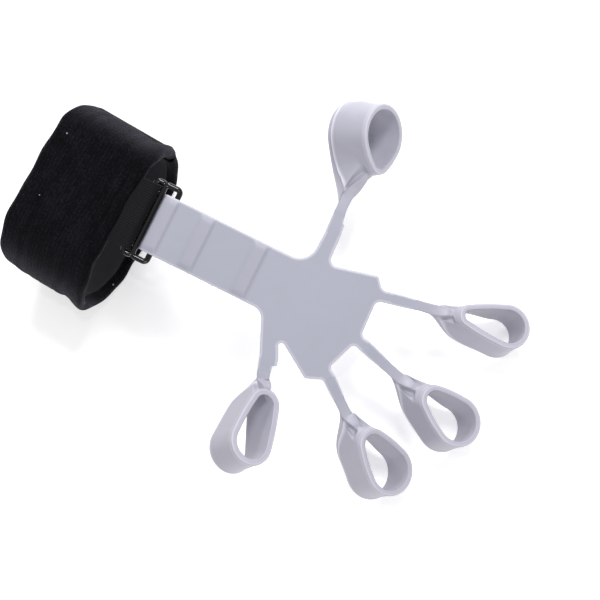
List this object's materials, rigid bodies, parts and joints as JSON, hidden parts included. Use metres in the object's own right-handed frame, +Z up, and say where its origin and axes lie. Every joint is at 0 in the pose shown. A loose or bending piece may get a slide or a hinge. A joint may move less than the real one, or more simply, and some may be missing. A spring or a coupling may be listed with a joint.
{
  "type": "finger exerciser",
  "caption": "Finger exerciser: a soft silicone palm net with a stretchy arm and teardrop loop for each finger, joined by a ribbed strap and a wire tri-glide buckle to a padded wrist cuff.",
  "frame": {"origin": "centre of the wrist cuff's flat underside", "axes": "+X from the wrist to the fingertips, +Y to the thumb side, +Z up to the palm side, square to the face the cuff rests on"},
  "size_m": [0.1762, 0.1326, 0.0512],
  "materials": {
    "black_wire": "gloss black coated steel wire",
    "black_pile": "brushed black loop pile",
    "cuff_foam": "soft black foam sheet",
    "cuff_lining": "smooth black knit lining",
    "hook_tape": "black woven tape with moulded hooks",
    "black_webbing": "flat black woven webbing",
    "silicone_strap": "satin grey silicone",
    "silicone_plate": "satin grey silicone",
    "silicone_loops": "satin grey silicone"
  },
  "bodies": {
    "cuff": {"cuff_outer_fabric": "black_pile", "cuff_foam": "cuff_foam", "cuff_lining": "cuff_lining", "tab_webbing": "black_webbing"},
    "closure_flap": {"flap_outer_fabric": "black_pile", "flap_foam": "cuff_foam", "flap_lining": "cuff_lining", "hook_tape": "hook_tape", "hook_patch": "hook_tape"},
    "buckle": {"buckle": "black_wire"},
    "strap": {"wrist_strap": "silicone_strap", "strap_tail": "silicone_strap"},
    "palm": {"palm_plate": "silicone_plate"},
    "thumb_arm": {"thumb_arm": "silicone_plate"},
    "thumb_loop": {"thumb_loop": "silicone_loops"},
    "index_arm": {"index_arm": "silicone_plate"},
    "index_loop": {"index_loop": "silicone_loops"},
    "middle_arm": {"middle_arm": "silicone_plate"},
    "middle_loop": {"middle_loop": "silicone_loops"},
    "ring_arm": {"ring_arm": "silicone_plate"},
    "ring_loop": {"ring_loop": "silicone_loops"},
    "little_arm": {"little_arm": "silicone_plate"},
    "little_loop": {"little_loop": "silicone_loops"}
  },
  "joints": [
    {"name": "flap_open", "type": "hinge", "parent": "cuff", "child": "closure_flap", "pos_m": [0.00147, 0.02105, 0.0462], "axis": [0.9976, -0.0698, 0], "range_deg": [0, 60]},
    {"name": "buckle_swing", "type": "hinge", "parent": "cuff", "child": "buckle", "pos_m": [0.0249, 0.005, 0.04625], "axis": [0, 1, 0], "range_deg": [-25, 25]},
    {"name": "strap_adjust", "type": "slide", "parent": "buckle", "child": "strap", "axis": [0.9677, 0, -0.2521], "range_m": [-0.006, 0.006], "deforming": ["strap_tail"]},
    {"name": "palm_flex", "type": "hinge", "parent": "strap", "child": "palm", "pos_m": [0.0713, 0.005, 0.03664], "axis": [0, 1, 0], "range_deg": [-30, 30], "stiffness_Nm_per_rad": 0.15},
    {"name": "thumb_flex", "type": "hinge", "parent": "palm", "child": "thumb_arm", "pos_m": [0.08388, 0.029, 0.03336], "axis": [-0.9615, -0.1132, 0.2504], "range_deg": [-30, 45], "stiffness_Nm_per_rad": 0.05},
    {"name": "thumb_stretch", "type": "slide", "parent": "thumb_arm", "child": "thumb_loop", "axis": [-0.1095, 0.9936, 0.0285], "range_m": [0, 0.02], "stiffness_N_per_m": 200, "deforming": ["thumb_arm"]},
    {"name": "index_flex", "type": "hinge", "parent": "palm", "child": "index_arm", "pos_m": [0.11156, 0.0178, 0.02616], "axis": [-0.2045, 0.9774, 0.0533], "range_deg": [-30, 45], "stiffness_Nm_per_rad": 0.05},
    {"name": "index_stretch", "type": "slide", "parent": "index_arm", "child": "index_loop", "axis": [0.948, 0.2113, -0.2379], "range_m": [0, 0.02], "stiffness_N_per_m": 200, "deforming": ["index_arm"]},
    {"name": "middle_flex", "type": "hinge", "parent": "palm", "child": "middle_arm", "pos_m": [0.11059, -0.0009, 0.02641], "axis": [0.2748, 0.9588, -0.0716], "range_deg": [-30, 45], "stiffness_Nm_per_rad": 0.05},
    {"name": "middle_stretch", "type": "slide", "parent": "middle_arm", "child": "middle_loop", "axis": [0.8735, -0.2801, -0.3981], "range_m": [0, 0.02], "stiffness_N_per_m": 200, "deforming": ["middle_arm"]},
    {"name": "ring_flex", "type": "hinge", "parent": "palm", "child": "ring_arm", "pos_m": [0.10479, -0.0162, 0.02792], "axis": [0.6024, 0.7826, -0.1569], "range_deg": [-30, 45], "stiffness_Nm_per_rad": 0.05},
    {"name": "ring_stretch", "type": "slide", "parent": "ring_arm", "child": "ring_loop", "axis": [0.6585, -0.5984, -0.4564], "range_m": [0, 0.02], "stiffness_N_per_m": 200, "deforming": ["ring_arm"]},
    {"name": "little_flex", "type": "hinge", "parent": "palm", "child": "little_arm", "pos_m": [0.08311, -0.0195, 0.03357], "axis": [0.9369, 0.2504, -0.244], "range_deg": [-30, 45], "stiffness_Nm_per_rad": 0.05},
    {"name": "little_stretch", "type": "slide", "parent": "little_arm", "child": "little_loop", "axis": [0.2423, -0.9681, -0.0631], "range_m": [0, 0.02], "stiffness_N_per_m": 200, "deforming": ["little_arm"]}
  ]
}
